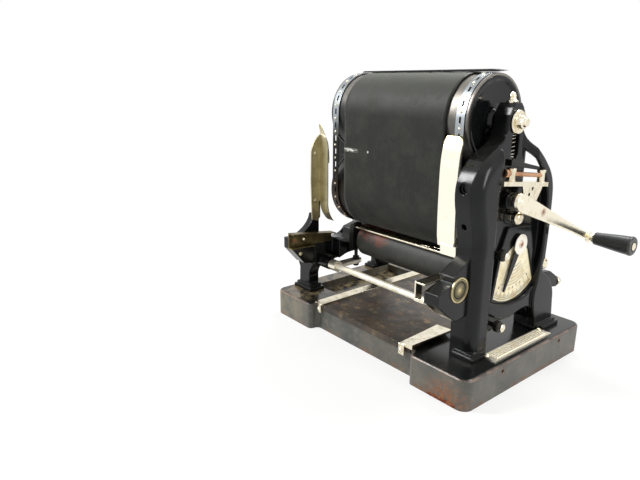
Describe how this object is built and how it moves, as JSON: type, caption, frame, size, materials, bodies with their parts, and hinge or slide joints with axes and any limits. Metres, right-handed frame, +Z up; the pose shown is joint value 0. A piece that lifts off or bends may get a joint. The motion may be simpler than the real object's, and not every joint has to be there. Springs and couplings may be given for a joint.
{
  "type": "mimeograph",
  "caption": "Hand-cranked rotary stencil duplicator: two cylinders in an ink belt, impression roller, crank, dial and feed table on a cast base.",
  "frame": {"origin": "centre of the underside of the base", "axes": "+X along the cylinders towards the crank, +Y to the rear, +Z up"},
  "size_m": [0.4588, 0.3137, 0.4074],
  "materials": {
    "base_japan": "satin",
    "frame_japan": "gloss",
    "table_steel": "satin",
    "nickel": "polished",
    "aged_nickel": "satin",
    "black_parts": "satin",
    "belt_cloth": "matte",
    "roller_rubber": "matte",
    "grip_black": "satin",
    "brass": "satin",
    "spring_steel": "satin"
  },
  "bodies": {
    "base_and_frames": {"base_casting": "base_japan", "feed_table": "table_steel", "left_paper_guide": "nickel", "right_paper_guide": "nickel", "base_strip_plate": "nickel", "right_side_frame": "frame_japan", "left_side_frame": "frame_japan", "right_front_bracket": "frame_japan", "left_front_bracket": "frame_japan", "medallion": "brass", "right_feed_ledge": "nickel", "left_feed_ledge": "aged_nickel", "right_edge_guard": "aged_nickel", "left_edge_guard": "aged_nickel", "dial_bezel": "frame_japan", "dial_plate": "brass", "dial_washer": "nickel", "ink_belt": "belt_cloth", "perforated_bands": "nickel", "band_studs": "nickel", "stencil_clamp_bar": "aged_nickel", "bearing_bushes": "brass", "oil_cups": "nickel", "right_tension_spring": "spring_steel", "left_tension_spring": "spring_steel", "frame_arms": "black_parts", "link_posts": "nickel", "link_shelf": "nickel", "rear_stop_cap": "nickel", "fixing_screws": "nickel"},
    "lower_cylinder": {"lower_drum": "nickel", "lower_end_discs": "black_parts", "lower_shaft": "nickel", "lower_gear": "spring_steel"},
    "tension_carriage": {"upper_shaft": "nickel", "bearing_blocks": "frame_japan"},
    "upper_cylinder": {"upper_drum": "nickel", "upper_end_discs": "black_parts"},
    "crank": {"crank_shaft": "black_parts", "crank_gear": "spring_steel", "crank_arm": "nickel", "grip_spindle": "nickel"},
    "crank_grip": {"crank_grip": "grip_black"},
    "roller_carriage": {"roller_shaft": "nickel", "right_roller_block": "black_parts", "left_roller_block": "black_parts", "lift_screws": "black_parts", "stripper_bar": "aged_nickel"},
    "impression_roller": {"roller_sleeve": "roller_rubber", "roller_core": "black_parts"},
    "pressure_shaft": {"rocker_rod": "nickel", "lift_levers": "nickel"},
    "dial_pointer": {"dial_pointer": "black_parts"},
    "dial_clamp_knob": {"dial_clamp_knob": "nickel"},
    "lower_clamp_knob": {"lower_clamp_knob": "nickel"},
    "rear_thumb_screw": {"rear_thumb_screw": "nickel"},
    "adjuster_screw": {"adjuster_screw": "brass"}
  },
  "joints": [
    {"name": "lower_cylinder_turn", "type": "hinge", "parent": "base_and_frames", "child": "lower_cylinder", "pos_m": [0, -0.018, 0.224], "axis": [1, 0, 0], "continuous": true},
    {"name": "belt_tension", "type": "slide", "parent": "base_and_frames", "child": "tension_carriage", "axis": [0, 0, 1], "range_m": [-0.002, 0], "stiffness_N_per_m": 5000, "springref_m": 0.012, "deforming": ["right_tension_spring", "left_tension_spring"]},
    {"name": "upper_cylinder_turn", "type": "hinge", "parent": "tension_carriage", "child": "upper_cylinder", "pos_m": [0, -0.018, 0.344], "axis": [1, 0, 0], "continuous": true},
    {"name": "crank_turn", "type": "hinge", "parent": "base_and_frames", "child": "crank", "pos_m": [0.16, -0.03, 0.2475], "axis": [1, 0, 0], "continuous": true},
    {"name": "grip_spin", "type": "hinge", "parent": "crank", "child": "crank_grip", "pos_m": [0.229, 0.142, 0.1745], "axis": [1, 0, 0], "continuous": true},
    {"name": "roller_lift", "type": "slide", "parent": "base_and_frames", "child": "roller_carriage", "axis": [0, 0, 1], "range_m": [-0.006, 0]},
    {"name": "roller_spin", "type": "hinge", "parent": "roller_carriage", "child": "impression_roller", "pos_m": [0, -0.018, 0.1354], "axis": [1, 0, 0], "continuous": true},
    {"name": "rocker_turn", "type": "hinge", "parent": "base_and_frames", "child": "pressure_shaft", "pos_m": [0, -0.084, 0.0985], "axis": [1, 0, 0], "range_deg": [-8, 1]},
    {"name": "dial_pointer_turn", "type": "hinge", "parent": "base_and_frames", "child": "dial_pointer", "pos_m": [0.165, 0.006, 0.183], "axis": [1, 0, 0], "range_deg": [-6, 58]},
    {"name": "dial_clamp_turn", "type": "hinge", "parent": "base_and_frames", "child": "dial_clamp_knob", "pos_m": [0.17, -0.042, 0.178], "axis": [1, 0, 0], "range_deg": [-180, 0]},
    {"name": "lower_clamp_turn", "type": "hinge", "parent": "base_and_frames", "child": "lower_clamp_knob", "pos_m": [0.171, -0.038, 0.078], "axis": [1, 0, 0], "range_deg": [-180, 0]},
    {"name": "rear_thumb_screw_turn", "type": "hinge", "parent": "base_and_frames", "child": "rear_thumb_screw", "pos_m": [0.1645, 0.114, 0.1045], "axis": [0, 1, 0], "range_deg": [-180, 180]},
    {"name": "adjuster_screw_turn", "type": "hinge", "parent": "base_and_frames", "child": "adjuster_screw", "pos_m": [0.171, -0.06, 0.286], "axis": [0, 0.9911, -0.1331], "continuous": true}
  ],
  "couplings": [
    {"joint": "crank_turn", "follows": "lower_cylinder_turn", "ratio": -0.6},
    {"joint": "upper_cylinder_turn", "follows": "lower_cylinder_turn", "ratio": 1},
    {"joint": "roller_spin", "follows": "lower_cylinder_turn", "ratio": -2.1429},
    {"joint": "rocker_turn", "follows": "roller_lift", "rad_per_m": 21.739}
  ]
}
